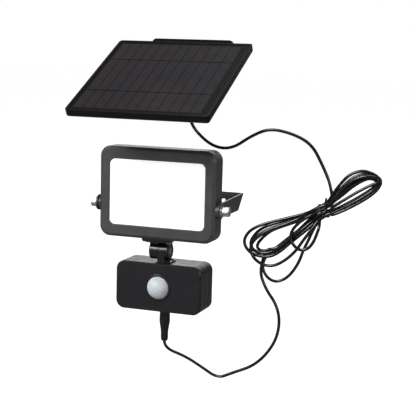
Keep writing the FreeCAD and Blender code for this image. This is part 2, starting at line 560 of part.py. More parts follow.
def panel_bracket():
    axis_y, axis_z = panel_axis_point()
    web_front = BRACKET_BACK_Y - 2.2
    web = block(-BRACKET_OUT, BRACKET_OUT, web_front, BRACKET_BACK_Y, BRACKET_BOTTOM_Z, BRACKET_TOP_Z)
    leg_top = axis_z + 9.5
    outline = [(axis_y, leg_top), (web_front - 12, leg_top), (BRACKET_BACK_Y, leg_top + 12),
               (BRACKET_BACK_Y, BRACKET_BOTTOM_Z), (axis_y, axis_z - BRACKET_EYE_R)]
    leg = prism_x(outline, BRACKET_IN, BRACKET_OUT)
    leg = leg.fuse(x_rod(BRACKET_EYE_R, BRACKET_IN, BRACKET_OUT, axis_y, axis_z))
    bracket = web.multiFuse(both_sides(leg)).removeSplitter()
    corners = []
    for edge in edges_along(bracket, Y_AXIS):
        middle = edge.CenterOfMass
        if abs(middle.z - BRACKET_TOP_Z) < 0.01 and abs(abs(middle.x) - BRACKET_OUT) < 0.01:
            corners.append(edge)
    bracket = tidy_corners(bracket, 6.0, corners)
    holes = [x_rod(2.5 + PIVOT_FIT, side * 50 - 3, side * 50 + 3, axis_y, axis_z) for side in (-1, 1)]
    for x in (-BRACKET_HOLE_X, BRACKET_HOLE_X):
        holes += [y_rod(BRACKET_HOLE_R, web_front - 2, BRACKET_BACK_Y + 2, x, z) for z in BRACKET_HOLE_ZS]
    bracket = bracket.cut(Part.makeCompound(holes))
    bracket.translate(V(PANEL_X, 0, 0))
    return bracket


def panel_bolt():
    """The right-hand tilt bolt, in the panel's own frame."""
    head = hex_x(8.0, BRACKET_OUT + 1.3, BRACKET_OUT + 4.8, PANEL_AXIS_Y, PANEL_AXIS_Z)
    shank = x_rod(2.5, LUG_IN - 5.4, BRACKET_OUT + 1.3, PANEL_AXIS_Y, PANEL_AXIS_Z)
    return head.fuse(shank).removeSplitter()


def panel_washer():
    washer = x_rod(5.0, BRACKET_OUT + 0.1, BRACKET_OUT + 1.3, PANEL_AXIS_Y, PANEL_AXIS_Z)
    return washer.cut(x_rod(2.5, 40, 60, PANEL_AXIS_Y, PANEL_AXIS_Z))


def panel_nut():
    nut = hex_x(8.0, LUG_IN - 4.0, LUG_IN, PANEL_AXIS_Y, PANEL_AXIS_Z)
    return nut.cut(x_rod(2.5, 30, 60, PANEL_AXIS_Y, PANEL_AXIS_Z))


# ------------------------------------------------------------------ cord
def cord_path(points, name):
    """Straight runs joined by tangent arcs; prints the arcs' radii."""
    places = [V(*p) for p in points]
    edges, radii = [], []
    start = places[0]
    for before, corner, after in zip(places, places[1:], places[2:]):
        back = before - corner
        ahead = after - corner
        half_turn = (math.pi - back.getAngle(ahead)) / 2
        reach = 0.45 * min(back.Length, ahead.Length)
        radii.append(reach / math.tan(half_turn))
        back.normalize()
        ahead.normalize()
        arc_in = corner + back * reach
        arc_out = corner + ahead * reach
        inward = back + ahead
        inward.normalize()
        depth = radii[-1] / math.cos(half_turn) - radii[-1]
        edges.append(Part.LineSegment(start, arc_in).toShape())
        edges.append(Part.Arc(arc_in, corner + inward * depth, arc_out).toShape())
        start = arc_out
    edges.append(Part.LineSegment(start, places[-1]).toShape())
    print(name, "bend radii", [round(r, 1) for r in radii])
    return Part.Wire(edges)


def cord_tube(points, name):
    """A round tube along a route, with its volume checked against section times length."""
    path = cord_path(points, name)
    heading = V(*points[1]) - V(*points[0])
    section = Part.Wire([Part.makeCircle(CORD_D / 2, V(*points[0]), heading)])
    tube = path.makePipeShell([section], True, True)
    expected = math.pi * CORD_D ** 2 / 4 * path.Length
    print(name, "length", round(path.Length, 1), "volume ratio", round(tube.Volume / expected, 4))
    return tube


def oval(half_long, half_wide, depth):
    """A standing oval plate about the origin, facing Y."""
    wire = Part.Wire([Part.Ellipse(V(0, 0, 0), half_long, half_wide).toShape()])
    plate = Part.Face(wire).extrude(V(0, 0, depth))
    plate.translate(V(0, 0, -depth / 2))
    plate.rotate(V(0, 0, 0), X_AXIS, 90)
    return plate


def hank_ring(x, z, half_long, half_wide, lean, band, depth):
    ring = oval(half_long, half_wide, depth).cut(oval(half_long - band, half_wide - band, depth + 2))
    ring.rotate(V(0, 0, 0), Y_AXIS, -lean)
    ring.translate(V(x, HANK_Y, z))
    return ring


def cord_hank():
    rings = [hank_ring(*ring) for ring in HANK_RINGS]
    waist = hank_waist(9.0, 6.0)
    return rings[0].multiFuse(rings[1:] + [waist]).removeSplitter()


def hank_waist(half_height, half_depth):
    """The tight middle of the hank, under the tie."""
    waist = block(-9, 9, -half_depth, half_depth, -half_height, half_height)
    waist = waist.makeFillet(4, edges_along(waist, X_AXIS))
    waist.rotate(V(0, 0, 0), Y_AXIS, -TIE_LEAN)
    waist.translate(V(TIE_X, HANK_Y, TIE_Z))
    return waist


def cord_tie():
    """A wire tie wound round the middle of the hank."""
    band = block(-2.5, 2.5, -9, 9, -11, 11)
    band = band.makeFillet(5, edges_along(band, X_AXIS))
    band.rotate(V(0, 0, 0), Y_AXIS, -TIE_LEAN)
    band.translate(V(TIE_X, HANK_Y, TIE_Z))
    return band


def outside_hank(tube, hank):
    """The length of a tube outside the hank, ending face to face with it."""
    return max(tube.cut(hank).Solids, key=lambda solid: solid.Volume)


# ------------------------------------------------------------------ write the pieces
def save(name, shape):
    """Move a piece from the pivot axis to the wall-hole origin and write it."""
    placed = shape.copy()
    placed.translate(V(0, -WEB_Y, -WEB_Z))
    placed.exportStep("parts/" + name + ".step")
    solids = placed.Solids
    print(name, len(solids), "solids", round(placed.Volume), "valid" if placed.isValid() else "INVALID")


os.makedirs("parts", exist_ok=True)

save("lamp_yoke", lamp_yoke())

save("front_frame", front_frame())
save("lamp_glass", slab(GLASS_W, GLASS_H, 7.8, FRAME_BACK - GLASS_T, FRAME_BACK, 0, LAMP_Z))
gasket_in = (GLASS_W - 8, GLASS_H - 8)
save("glass_gasket", ring_slab((GLASS_W, GLASS_H), gasket_in, 8, FRAME_BACK, FRAME_BACK + 1.5, LAMP_Z))
save("light_diffuser", slab(113.6, 73.6, 5.8, FRAME_BACK + 1.5, FRAME_BACK + 3, 0, LAMP_Z))
save("reflector_tray", reflector())
save("led_board", slab(108, 68, 4, 7.4, CAVITY_BACK, 0, LAMP_Z))
save("led_chips", led_chips())
save("lamp_housing", lamp_housing())
save("frame_screws", Part.makeCompound(
    [screw_y(3.2, HOUSING_BACK, HOUSING_BACK + 2.4, 1.7, FRAME_BACK - 1.9, x, z) for x, z in FRAME_SCREWS]))
save("pivot_bolts", Part.makeCompound([pivot_bolt(-1), pivot_bolt(1)]))
save("pivot_flat_washers", flat_washers())
save("pivot_spring_washer", spring_washer())

save("sensor_bracket", sensor_bracket())
bracket_low = LAMP_Z - LAMP_H / 2 - 3.3
save("sensor_bracket_screws", Part.makeCompound(
    [headed_pin(1.5, -31.0, bracket_low, 2.6, bracket_low - 1.6, x, HANGER_SCREW_Y)
     for x in HANGER_SCREW_XS]))
save("hinge_screw", hinge_screw())
save("hinge_nut", hinge_nut())

save("sensor_neck", sensor_neck())
save("neck_screws", Part.makeCompound(
    [headed_pin(1.3, BOX_TOP - 5, BOX_TOP + 1.5, 2.3, BOX_TOP + 2.7, x, y) for x, y in NECK_SCREWS]))
save("sensor_front_cover", sensor_front_cover())
seal_out, seal_in = (BOX_W - 2, BOX_H - 2), (INNER_W + 0.4, INNER_H + 0.4)
save("sensor_seal", ring_slab(seal_out, seal_in, BOX_R - 1, COVER_BACK, SHELL_FRONT, BOX_Z))
save("sensor_rear_shell", sensor_rear_shell())
save("sensor_box_screws", Part.makeCompound(
    [screw_y(2.8, BOX_BACK - 2.2, BOX_BACK - 0.4, 1.3, 9.5, x, z) for x, z in BOX_SCREWS]))
save("lens_dome", lens_dome())
save("lens_ring", lens_ring())
save("motion_detector", y_rod(4.6, 7.8, 12, 0, BOX_Z).fuse(y_rod(5.2, 11.4, 12, 0, BOX_Z)).removeSplitter())
save("control_board", slab(80, 44, 2, 12, 13.6, 0, BOX_Z))
save("battery_holder", battery_holder())
save("battery_cell", battery_cell())
save("dc_inlet", dc_inlet())
save("plug_body", plug_body())
save("plug_barrel", plug_barrel())

save("panel_tray", place_panel(panel_tray()))
sheet_w, sheet_d = PANEL_W - 2 * RIM - 0.4, PANEL_D - 2 * RIM - 0.4
save("panel_backing", place_panel(flat_plate(sheet_w, sheet_d, 1.8, -4.0, -2.4)))
save("solar_cells", place_panel(solar_cells()))
save("busbars", place_panel(busbars()))
save("panel_cover", place_panel(flat_plate(sheet_w, sheet_d, 1.8, -1.8, -0.9)))
save("junction_box", place_panel(junction_box()))
save("junction_lid", place_panel(junction_lid()))
save("junction_screws", place_panel(junction_screws()))
save("cord_gland", place_panel(cord_gland()))
save("panel_lugs", place_panel(Part.makeCompound(both_sides(panel_lug()))))
save("lug_screws", place_panel(lug_screws()))
save("panel_bolts", place_panel(Part.makeCompound(both_sides(panel_bolt()))))
save("panel_washers", place_panel(Part.makeCompound(both_sides(panel_washer()))))
save("panel_nuts", place_panel(Part.makeCompound(both_sides(panel_nut()))))
save("panel_bracket", panel_bracket())

hank = cord_hank()
save("cord_hank", hank)
save("cord_tie", cord_tie().cut(hank))
save("upper_lead", outside_hank(cord_tube(UPPER_LEAD, "upper_lead"), hank))
save("lower_lead", outside_hank(cord_tube(LOWER_LEAD, "lower_lead"), hank))
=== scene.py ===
import math
import random

import bpy
from mathutils import Matrix, Vector


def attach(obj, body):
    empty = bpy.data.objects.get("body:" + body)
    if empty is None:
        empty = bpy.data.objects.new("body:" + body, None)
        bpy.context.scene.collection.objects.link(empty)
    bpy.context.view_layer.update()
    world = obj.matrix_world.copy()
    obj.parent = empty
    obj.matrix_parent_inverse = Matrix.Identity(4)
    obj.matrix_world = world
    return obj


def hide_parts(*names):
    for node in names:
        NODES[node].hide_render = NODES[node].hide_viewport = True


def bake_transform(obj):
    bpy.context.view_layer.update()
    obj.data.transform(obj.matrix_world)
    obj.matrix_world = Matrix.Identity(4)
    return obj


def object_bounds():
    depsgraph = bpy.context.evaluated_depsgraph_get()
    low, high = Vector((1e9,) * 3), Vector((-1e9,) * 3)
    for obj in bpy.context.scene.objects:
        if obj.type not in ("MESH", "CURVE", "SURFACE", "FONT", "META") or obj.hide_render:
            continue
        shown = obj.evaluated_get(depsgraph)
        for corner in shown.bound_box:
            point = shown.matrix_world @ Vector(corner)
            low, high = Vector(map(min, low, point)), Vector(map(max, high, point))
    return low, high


# The looks of the solar flood light: lamp head, sensor box, solar panel and their cord.
# Places are in millimetres about the lamp's pivot axis, as in the part's source; row() turns
# them into the row frame in metres.

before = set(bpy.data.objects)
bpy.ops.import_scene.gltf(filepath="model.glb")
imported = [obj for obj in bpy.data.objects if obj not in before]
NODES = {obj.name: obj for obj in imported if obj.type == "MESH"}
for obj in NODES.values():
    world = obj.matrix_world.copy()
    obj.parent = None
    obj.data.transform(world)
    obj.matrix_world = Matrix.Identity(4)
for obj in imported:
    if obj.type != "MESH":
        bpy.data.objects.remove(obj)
cad_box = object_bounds()
MM = 0.001
WEB_Y, WEB_Z = 71.0, 1.5


def row(x, y, z):
    """A point of the part's source, in the row frame in metres."""
    return Vector((x, y - WEB_Y, z - WEB_Z)) * MM


# ------------------------------------------------------------------ camera
def make_camera():
    data = bpy.data.cameras.new("camera")
    data.sensor_width = 36.0
    data.lens = 97.486
    data.clip_start, data.clip_end = 0.01, 50.0
    camera = bpy.data.objects.new("camera", data)
    bpy.context.scene.collection.objects.link(camera)
    camera.rotation_mode = "QUATERNION"
    camera.location = (0.47178, -1.23377, 0.18704)
    turn = (
        Matrix.Rotation(math.radians(19.56), 3, "Z")
        @ Matrix.Rotation(math.radians(90.0 - 8.56), 3, "X")
        @ Matrix.Rotation(math.radians(1.51), 3, "Z")
    )
    camera.rotation_quaternion = turn.to_quaternion()
    bpy.context.scene.camera = camera


make_camera()


# ------------------------------------------------------------------ materials
class Nodes:
    """A material's node tree with short helpers."""

    def __init__(self, name):
        self.material = bpy.data.materials.new(name)
        self.material.use_nodes = True
        self.tree = self.material.node_tree
        self.shader = self.tree.nodes["Principled BSDF"]
        self.coord = self.add("ShaderNodeTexCoord").outputs["Object"]

    def add(self, kind, **settings):
        node = self.tree.nodes.new(kind)
        for key, value in settings.items():
            setattr(node, key, value)
        return node

    def link(self, source, target):
        self.tree.links.new(source, target)

    def noise(self, scale, detail=2.0, stretch=None):
        node = self.add("ShaderNodeTexNoise")
        node.inputs["Scale"].default_value = scale
        node.inputs["Detail"].default_value = detail
        if stretch:
            mapping = self.add("ShaderNodeMapping")
            mapping.inputs["Scale"].default_value = stretch
            self.link(self.coord, mapping.inputs["Vector"])
            self.link(mapping.outputs["Vector"], node.inputs["Vector"])
        else:
            self.link(self.coord, node.inputs["Vector"])
        return node.outputs["Fac"]

    def ramp(self, value, stops):
        node = self.add("ShaderNodeValToRGB")
        ramp = node.color_ramp
        while len(ramp.elements) < len(stops):
            ramp.elements.new(0.5)
        for element, (place, colour) in zip(ramp.elements, stops):
            element.position = place
            element.color = (*colour, 1.0)
        self.link(value, node.inputs["Fac"])
        return node.outputs["Color"]

    def span(self, value, low, high):
        """Carry a noise value, which lies mostly between 0.3 and 0.7, to another range."""
        node = self.add("ShaderNodeMapRange")
        node.inputs["From Min"].default_value = 0.3
        node.inputs["From Max"].default_value = 0.7
        node.inputs["To Min"].default_value = low
        node.inputs["To Max"].default_value = high
        self.link(value, node.inputs["Value"])
        return node.outputs["Result"]

    def bump(self, height, strength, distance):
        node = self.add("ShaderNodeBump")
        node.inputs["Strength"].default_value = strength
        node.inputs["Distance"].default_value = distance
        self.link(height, node.inputs["Height"])
        self.link(node.outputs["Normal"], self.shader.inputs["Normal"])

    def set(self, **sockets):
        for key, value in sockets.items():
            self.shader.inputs[key.replace("_", " ")].default_value = value


def shade(colour, factor):
    return tuple(min(1.0, part * factor) for part in colour)


def plain_finish(
    name, colour, rough, vary=0.12, blotch=60.0, grain=1500.0, bump=0.15, depth=0.0001, metallic=0.0,
    specular=0.5,
):
    """A finish with soft blotches of tone and roughness and a fine grain."""
    n = Nodes(name)
    soft = n.noise(blotch, 3.0)
    tone = n.ramp(soft, [(0.3, shade(colour, 1 - vary)), (0.7, shade(colour, 1 + vary))])
    n.link(tone, n.shader.inputs["Base Color"])
    n.link(n.span(n.noise(blotch * 2.3, 4.0), rough * 0.88, rough * 1.15), n.shader.inputs["Roughness"])
    n.bump(n.noise(grain, 2.0), bump, depth)
    n.set(Metallic=metallic, Specular_IOR_Level=specular)
    return n.material


def make_cells():
    """Dark silicon that drifts from bluish to brownish across the panel."""
    n = Nodes("silicon")
    drift = n.noise(11.0, 3.0)
    base = n.ramp(drift, [(0.3, (0.0150, 0.0145, 0.0190)), (0.7, (0.0230, 0.0195, 0.0190))])
    n.link(base, n.shader.inputs["Base Color"])
    n.link(n.span(n.noise(90.0, 3.0), 0.30, 0.42), n.shader.inputs["Roughness"])
    n.bump(n.noise(1600.0, 2.0), 0.04, 0.00002)
    n.set(Specular_IOR_Level=0.12)
    return n.material


def make_glass_with_painted_glow():
    """Frosted white lamp glass, with a weak emission: a painted glow that makes its white read even and
    bright.
    """
    n = Nodes("frosted_glass_painted_glow")
    tone = n.ramp(n.noise(14.0, 2.0), [(0.3, (0.90, 0.905, 0.91)), (0.7, (0.95, 0.95, 0.95))])
    n.link(tone, n.shader.inputs["Base Color"])
    n.link(n.span(n.noise(700.0, 2.0), 0.22, 0.32), n.shader.inputs["Roughness"])
    n.bump(n.noise(3000.0, 1.0), 0.05, 0.00002)
    n.set(Specular_IOR_Level=0.4)
    # painted glow: this weak emission evens out and brightens the glass's white
    n.shader.inputs["Emission Color"].default_value = (1.0, 1.0, 1.0, 1.0)
    n.shader.inputs["Emission Strength"].default_value = 0.42
    return n.material


def make_lens():
    """Milky moulded polyethylene of the sensor's lens, with the faint cells of a Fresnel array; each
    cell's colour darkens towards its edge as painted shade between the facets.
    """
    n = Nodes("milky_lens")
    facets = n.add("ShaderNodeTexVoronoi", feature="SMOOTH_F1")
    facets.inputs["Scale"].default_value = 230.0
    facets.inputs["Smoothness"].default_value = 0.15
    n.link(n.coord, facets.inputs["Vector"])
    # painted shade: each facet's colour darkens from its centre to its edge
    tone = n.ramp(facets.outputs["Distance"], [(0.15, (0.74, 0.765, 0.785)), (0.75, (0.62, 0.645, 0.67))])
    n.link(tone, n.shader.inputs["Base Color"])
    n.link(n.span(n.noise(400.0, 2.0), 0.34, 0.48), n.shader.inputs["Roughness"])
    n.bump(facets.outputs["Distance"], 0.35, 0.0003)
    n.set(Specular_IOR_Level=0.3, Subsurface_Weight=0.25, Subsurface_Scale=0.006)
    return n.material


def make_brushed_steel():
    """Stainless steel with fine turning marks."""
    n = Nodes("stainless")
    tone = n.ramp(n.noise(160.0, 3.0), [(0.3, (0.40, 0.39, 0.375)), (0.7, (0.52, 0.51, 0.495))])
    n.link(tone, n.shader.inputs["Base Color"])
    n.link(n.span(n.noise(900.0, 3.0, (1.0, 0.2, 1.0)), 0.34, 0.50), n.shader.inputs["Roughness"])
    n.bump(n.noise(4000.0, 1.0, (1.0, 0.1, 0.1)), 0.10, 0.00003)
    n.set(Metallic=0.7)
    return n.material


def make_led_chip():
    n = Nodes("led_phosphor")
    tone = n.ramp(n.noise(900.0, 2.0), [(0.3, (0.80, 0.62, 0.10)), (0.7, (0.88, 0.74, 0.20))])
    n.link(tone, n.shader.inputs["Base Color"])
    n.link(n.span(n.noise(1500.0), 0.35, 0.5), n.shader.inputs["Roughness"])
    return n.material


LAMP_PAINT = plain_finish("lamp_paint", (0.058, 0.058, 0.062), 0.42, grain=2600.0, bump=0.2, depth=0.00004)
YOKE_PAINT = plain_finish("yoke_paint", (0.040, 0.039, 0.040), 0.40, grain=2600.0, bump=0.2, depth=0.00004)
BLACK_PAINT = plain_finish("panel_paint", (0.0040, 0.0036, 0.0040), 0.30, grain=1800.0, bump=0.05,
                           depth=0.00003, specular=0.22)
MARGIN = plain_finish("panel_margin", (0.0048, 0.0036, 0.0030), 0.40, grain=1800.0, bump=0.03,
                      depth=0.00002, specular=0.1)
RUBBER = plain_finish("rubber", (0.014, 0.014, 0.014), 0.6, grain=900.0, bump=0.2)
CHARCOAL = plain_finish("charcoal_plastic", (0.0115, 0.0110, 0.0140), 0.40, grain=3200.0, bump=0.16,
                        depth=0.00003, specular=0.35)
BLACK_PLASTIC = plain_finish("black_plastic", (0.0050, 0.0050, 0.0053), 0.32, grain=3000.0, bump=0.12,
                             depth=0.00004)
BLACK_SCREW = plain_finish("black_oxide_screw", (0.012, 0.012, 0.012), 0.4, metallic=0.6, grain=2000.0)
SHEATH = plain_finish("cord_sheath", (0.0022, 0.0022, 0.0025), 0.20, blotch=220.0, grain=2400.0, bump=0.06,
                      depth=0.00003, specular=0.6)
WHITE_PLASTIC = plain_finish("white_plastic", (0.82, 0.82, 0.80), 0.4, vary=0.04)
DIFFUSER = plain_finish("white_diffuser", (0.88, 0.88, 0.88), 0.5, vary=0.03)
BOARD = plain_finish("circuit_board", (0.02, 0.16, 0.07), 0.45, vary=0.2, blotch=300.0)
CELL_WRAP = plain_finish("cell_wrap", (0.05, 0.25, 0.12), 0.35, vary=0.15)
TINNED = plain_finish("tinned_strip", (0.0022, 0.0020, 0.0022), 0.45, blotch=400.0, specular=0.08)
STEEL = make_brushed_steel()
GLOW_PAINTED_GLASS = make_glass_with_painted_glow()
CELLS = make_cells()
LENS = make_lens()
CHIP = make_led_chip()

FINISH = {
    "lamp_yoke": YOKE_PAINT, "panel_bracket": BLACK_PAINT, "front_frame": LAMP_PAINT,
    "lamp_housing": LAMP_PAINT, "lamp_glass": GLOW_PAINTED_GLASS, "glass_gasket": RUBBER, "light_diffuser": DIFFUSER,
    "reflector_tray": WHITE_PLASTIC, "led_board": BOARD, "led_chips": CHIP, "frame_screws": STEEL,
    "pivot_bolts": STEEL, "pivot_flat_washers": STEEL, "pivot_spring_washer": STEEL,
    "sensor_bracket": BLACK_PLASTIC, "sensor_bracket_screws": STEEL, "hinge_screw": STEEL,
    "hinge_nut": STEEL, "sensor_neck": BLACK_PLASTIC, "neck_screws": BLACK_SCREW,
    "sensor_front_cover": CHARCOAL, "sensor_seal": RUBBER, "sensor_rear_shell": CHARCOAL,
    "sensor_box_screws": STEEL, "lens_dome": LENS, "lens_ring": CHARCOAL, "motion_detector": STEEL,
    "control_board": BOARD, "battery_holder": BLACK_PLASTIC, "battery_cell": CELL_WRAP,
    "dc_inlet": BLACK_PLASTIC, "plug_body": BLACK_PLASTIC, "plug_barrel": STEEL,
    "panel_tray": BLACK_PAINT, "panel_backing": BLACK_PLASTIC, "solar_cells": CELLS, "busbars": TINNED,
    "panel_cover": MARGIN, "junction_box": BLACK_PLASTIC, "junction_lid": BLACK_PLASTIC,
    "junction_screws": STEEL, "cord_gland": BLACK_PLASTIC, "panel_lugs": BLACK_PAINT,
    "lug_screws": STEEL, "panel_bolts": STEEL, "panel_washers": STEEL, "panel_nuts": STEEL,
    "upper_lead": SHEATH, "lower_lead": SHEATH, "cord_hank": SHEATH, "cord_tie": BLACK_PLASTIC,
}
for node_name, node in NODES.items():
    node.data.materials.clear()
    node.data.materials.append(FINISH[node_name])
    for polygon in node.data.polygons:
        polygon.material_index = 0


# ------------------------------------------------------------------ mesh helpers
def make_piece(name, vertices, faces, material, smooth=True):
    """A mesh object from points in metres in the row frame."""
    mesh = bpy.data.meshes.new(name)
    mesh.from_pydata([tuple(v) for v in vertices], [], faces)
    mesh.materials.append(material)
    mesh.validate()
    if smooth:
        mesh.shade_smooth()
    piece = bpy.data.objects.new(name, mesh)
    bpy.context.scene.collection.objects.link(piece)
    return piece


def spline_points(points):
    """Points along a smooth NURBS line through a route's given points, in metres."""
    data = bpy.data.curves.new("route", "CURVE")
    data.dimensions = "3D"
    spline = data.splines.new("NURBS")
    spline.points.add(len(points) - 1)
    for point, place in zip(spline.points, points):
        point.co = (*place, 1.0)
    spline.order_u = 3
    spline.use_endpoint_u = True
    spline.resolution_u = 8
    line = bpy.data.objects.new("route", data)
    bpy.context.scene.collection.objects.link(line)
    graph = bpy.context.evaluated_depsgraph_get()
    graph.update()
    mesh = bpy.data.meshes.new_from_object(line.evaluated_get(graph))
    found = [v.co.copy() for v in mesh.vertices]
    bpy.data.objects.remove(line)
    bpy.data.meshes.remove(mesh)
    return found


def line_length(points):
    return sum((b - a).length for a, b in zip(points, points[1:]))


def tube_piece(name, path, radius, material, sides=14):
    """A round tube that follows a path, with closed ends."""
    vertices, faces = [], []
    tangent = (path[1] - path[0]).normalized()
    side = tangent.orthogonal().normalized()
    count = len(path)
    for i, place in enumerate(path):
        ahead = (path[min(i + 1, count - 1)] - path[max(i - 1, 0)]).normalized()
        side = (side - ahead * side.dot(ahead)).normalized()
        other = ahead.cross(side)
        for k in range(sides):
            turn = 2 * math.pi * k / sides
            vertices.append(place + (side * math.cos(turn) + other * math.sin(turn)) * radius)
    for i in range(count - 1):
        for k in range(sides):
            a, b = i * sides + k, i * sides + (k + 1) % sides
            faces.append((a, b, b + sides, a + sides))
    faces.append(tuple(reversed(range(sides))))
    faces.append(tuple(range((count - 1) * sides, count * sides)))
    return make_piece(name, vertices, faces, material)


# ------------------------------------------------------------------ cord
CORD_R = 1.75 * MM
UPPER_LEAD = [
    (30, 3.29, 113.563), (30, 9.252, 102.011), (35, 17, 86), (55.5, 20, 69), (78, 20, 68),
    (100.5, 20, 84), (121, 20, 93), (147.5, 20, 88.5), (169, 20, 78), (182, 20, 55.5),
    (192, 20, 34.5), (194, 20, 20),
]
LOWER_LEAD = [
    (120.5, 22, -45), (113, 22, -64), (121, 22, -86), (135.5, 22, -104), (140, 22, -125.5),
    (134, 22, -150), (113.5, 22, -176), (85, 22, -189), (68, 22.5, -197.5), (47, 23.5, -186.5),
    (26, 25, -176.8), (0, 25, -170), (0, 25, -161),
]
LOWEST_OF_LEAD = (85, 22, -189)   # the lower lead is two pieces that meet here
TIE_AT = Vector((185.0, 6.6))
BUNDLE_LEAN = math.radians(28)
BUNDLE_ALONG = Vector((math.cos(BUNDLE_LEAN), math.sin(BUNDLE_LEAN)))
BUNDLE_UP = Vector((-BUNDLE_ALONG.y, BUNDLE_ALONG.x))
HANK_Y = 21.0

# Left lobe from the tie's upper side round to its lower side, outermost and innermost turn.
LEFT_OUTER = [
    (164.8, 2), (141.3, -5.5), (117.8, -12.9), (103.8, -20.5), (96.6, -29.6), (95.5, -37),
    (100.1, -44.5), (110, -49.5), (127.1, -49.5), (138.3, -42.5), (149.2, -31.5), (165.7, -17),
]
LEFT_INNER = [
    (167, -2), (150, -10.5), (130, -18.5), (121, -24), (113.5, -31), (108, -38), (109, -43.5),
    (117, -45.5), (129, -41.5), (139, -34.5), (150, -24.5), (166, -11),
]
# Right lobe from the tie's lower side round to its upper side.
RIGHT_OUTER = [
    (193, 2), (208.4, 9.4), (222.5, 17.5), (236, 26.5), (244.5, 35), (247.5, 43), (241.5, 48.7),
    (235, 51.7), (226.5, 53.8), (213, 49), (202, 36), (195, 26),
]
RIGHT_INNER = [
    (194, 6.5), (209, 15.5), (222, 24), (234, 32.5), (240.5, 38), (242, 42.5), (237, 45),
    (230, 44), (222, 40), (213, 33.5), (203, 23.5), (194, 16),
]
CROSSING = [
    (193, 10), (207.8, 20.3), (222.5, 30.5), (235.5, 38.5), (242.5, 41.5), (245, 45.5), (240, 48),
    (232, 48.3), (223, 45.8), (213, 40), (203, 29), (195, 20),
]
# Loose loops that hang below the left lobe, from the tie round and back to it.
LARGE_LOOP = [
    (170, -6), (156, -18), (142, -30), (128, -42), (121, -48), (116, -56), (115, -65), (120, -75),
    (129, -80), (139, -77), (148, -69), (157, -55), (162, -40), (166, -31), (170, -20), (174, -11),
]
MEDIUM_LOOP = [
    (160, -3), (143, -11), (126, -18), (113, -27), (105, -37), (106, -47), (111, -54), (120, -58.8),
    (131, -58.8), (141, -54), (150, -47), (158, -38), (163, -29), (172, -16),
]
SMALL_LOOP = [
    (173, 2), (162, -5), (155, -12), (152, -17.5), (150.5, -24), (153, -32), (160, -38.5), (169, -37),
    (176, -29), (180, -19), (183, -10),
]
LAST_RUN = [(173, 0), (159, -15), (146, -29.5), (135, -38.5), (127, -41.5), (122.5, -41.5), (120.5, -45)]


def between(outer, inner, share):
    return [Vector(a).lerp(Vector(b), share) for a, b in zip(outer, inner)]


def through_tie(across, depth, to_left):
    """Two points that carry a strand straight through the tie."""
    ends = [8.0, -8.0] if to_left else [-8.0, 8.0]
    places = [TIE_AT + BUNDLE_ALONG * e + BUNDLE_UP * across for e in ends]
    return [(p.x, HANK_Y + depth, p.y) for p in places]


def hank_route():
    """The hank: turn after turn through the tie, each of its own size and depth."""
    chance = random.Random(7)
    left = [
        (between(LEFT_OUTER, LEFT_INNER, 0.0), -2.6), (LARGE_LOOP, 9.6),
        (between(LEFT_OUTER, LEFT_INNER, 0.36), 6.6), (MEDIUM_LOOP, -6.4),
        (between(LEFT_OUTER, LEFT_INNER, 0.7), -2.6), (SMALL_LOOP, -6.6),
        (between(LEFT_OUTER, LEFT_INNER, 1.0), 6.6),
    ]
    right = [
        (between(RIGHT_OUTER, RIGHT_INNER, 0.0), -4.6), (between(RIGHT_OUTER, RIGHT_INNER, 0.34), 4.6),
        (between(RIGHT_OUTER, RIGHT_INNER, 0.52), -4.6), (CROSSING, -8.2),
        (between(RIGHT_OUTER, RIGHT_INNER, 0.70), 4.6), (between(RIGHT_OUTER, RIGHT_INNER, 0.86), -4.6),
        (between(RIGHT_OUTER, RIGHT_INNER, 1.0), 4.6),
    ]
    rows = [-5.2, -1.7, 1.7, 5.2]
    route = [(194, 20, 20), (194.6, 19.5, 14.5)]
    for turn in range(len(left)):
        upper = 5.3 - 3.5 * (turn // 4) + 0.8 * (turn % 2)
        lower = -5.3 + 3.5 * (turn // 4) - 0.8 * (turn % 2)
        route += through_tie(upper, rows[turn % 4], True)
        for loops, ends in ((left, through_tie(lower, rows[(turn + 2) % 4], False)), (right, [])):
            points, depth = loops[turn]
            wave = chance.uniform(0, 6.28)
            for i, (x, z) in enumerate(points):
                sway = 0.7 * math.sin(wave + 1.1 * i)
                route.append((x + 0.5 * sway, HANK_Y + depth + sway, z))
            route += ends
    route += through_tie(1.8, 5.2, True)
    route += [(x, HANK_Y + 4.5 - 0.6 * i, z) for i, (x, z) in enumerate(LAST_RUN[:-1])]
    x, z = LAST_RUN[-1]
    route.append((x, 22, z))
    return route


def cord_piece(name, path, nodes):
    piece = tube_piece(name, path, CORD_R, SHEATH)
    if nodes:
        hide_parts(*nodes)
    return piece


def make_cord():
    upper = spline_points([row(*p) for p in UPPER_LEAD])
    hank = spline_points([row(*p) for p in hank_route()])
    lower = spline_points([row(*p) for p in LOWER_LEAD])
    lowest = row(*LOWEST_OF_LEAD)
    split = min(range(len(lower)), key=lambda i: (lower[i] - lowest).length)
    first, second = lower[: split + 1], lower[split:]

    upper_piece = cord_piece("panel_lead", upper, ["upper_lead"])
    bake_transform(upper_piece)
    hank_piece = cord_piece("hank_turns", hank, ["cord_hank"])
    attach(hank_piece, "wall_brackets")
    first_piece = cord_piece("sensor_lead_upper", first, ["lower_lead"])
    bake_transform(first_piece)
    second_piece = cord_piece("sensor_lead_lower", second, [])
    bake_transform(second_piece)
    for label, path in (("upper lead", upper), ("hank", hank), ("lower lead", lower)):
        print(label, "length in metres", round(line_length(path), 3))


make_cord()


TIE_SLANT = math.radians(132)
TIE_REACH, TIE_DEPTH, TIE_SWAY = 8.4, 8.6, 0.9
TIE_WIRE_R, TAIL_WIRE_R, TAIL_TWIST_R = 0.9, 0.7, 0.6
TAIL_FOOT, TAIL_STEP = Vector((187.4, 12.4, 7.5)), Vector((0.07, 0.0, 0.6))


